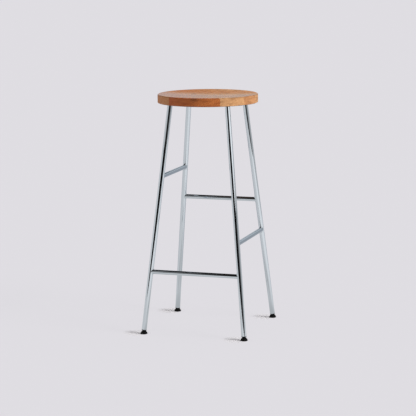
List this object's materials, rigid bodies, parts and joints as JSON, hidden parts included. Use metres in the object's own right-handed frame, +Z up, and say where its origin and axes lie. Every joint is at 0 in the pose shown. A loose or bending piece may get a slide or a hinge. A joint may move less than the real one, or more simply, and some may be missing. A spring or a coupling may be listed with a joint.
{
  "type": "bar stool",
  "caption": "Tall backless stool: round dished seat of glued wood staves on splayed chromed tube legs, with footrest bars climbing round it and tilting foot glides.",
  "frame": {"origin": "on the floor, under the middle of the seat: the bottom centre of the object's box", "axes": "+Z up; -Y is the front, the side with the lowest footrest; +X is to the right of someone looking from the front; the wood's grain runs along X"},
  "size_m": [0.353, 0.353, 0.75],
  "materials": {
    "seat_wood": "oiled and satin-lacquered hardwood",
    "chrome": "bright chrome plate on steel tube",
    "ring_steel": "black powder coat on flat steel",
    "screw_steel": "zinc-plated steel",
    "insert_brass": "plain brass",
    "black_plastic": "moulded, fine-grained black",
    "felt": "dense needled felt"
  },
  "bodies": {
    "stool": {"seat_stave_1": "seat_wood", "seat_stave_2": "seat_wood", "seat_stave_3": "seat_wood", "seat_stave_4": "seat_wood", "seat_stave_5": "seat_wood", "seat_stave_6": "seat_wood", "seat_ring": "ring_steel", "seat_inserts": "insert_brass", "seat_screws": "screw_steel", "leg_front_left": "chrome", "leg_front_right": "chrome", "leg_back_left": "chrome", "leg_back_right": "chrome", "footrest_front": "chrome", "footrest_right": "chrome", "footrest_back": "chrome", "footrest_left": "chrome", "glide_plug_front_left": "black_plastic", "glide_plug_front_right": "black_plastic", "glide_plug_back_left": "black_plastic", "glide_plug_back_right": "black_plastic"},
    "glide_front_left": {"glide_base_front_left": "black_plastic", "glide_sole_front_left": "felt"},
    "glide_front_right": {"glide_base_front_right": "black_plastic", "glide_sole_front_right": "felt"},
    "glide_back_left": {"glide_base_back_left": "black_plastic", "glide_sole_back_left": "felt"},
    "glide_back_right": {"glide_base_back_right": "black_plastic", "glide_sole_back_right": "felt"}
  },
  "joints": [
    {"name": "glide_front_left_tilt", "type": "hinge", "parent": "stool", "child": "glide_front_left", "pos_m": [-0.16518, -0.16518, 0.0072], "axis": [-0.7071, 0.7071, 0], "range_deg": [-3.9, 20]},
    {"name": "glide_front_right_tilt", "type": "hinge", "parent": "stool", "child": "glide_front_right", "pos_m": [0.16518, -0.16518, 0.0072], "axis": [-0.7071, -0.7071, 0], "range_deg": [-3.9, 20]},
    {"name": "glide_back_left_tilt", "type": "hinge", "parent": "stool", "child": "glide_back_left", "pos_m": [-0.16518, 0.16518, 0.0072], "axis": [0.7071, 0.7071, 0], "range_deg": [-3.9, 20]},
    {"name": "glide_back_right_tilt", "type": "hinge", "parent": "stool", "child": "glide_back_right", "pos_m": [0.16518, 0.16518, 0.0072], "axis": [0.7071, -0.7071, 0], "range_deg": [-3.9, 20]}
  ]
}
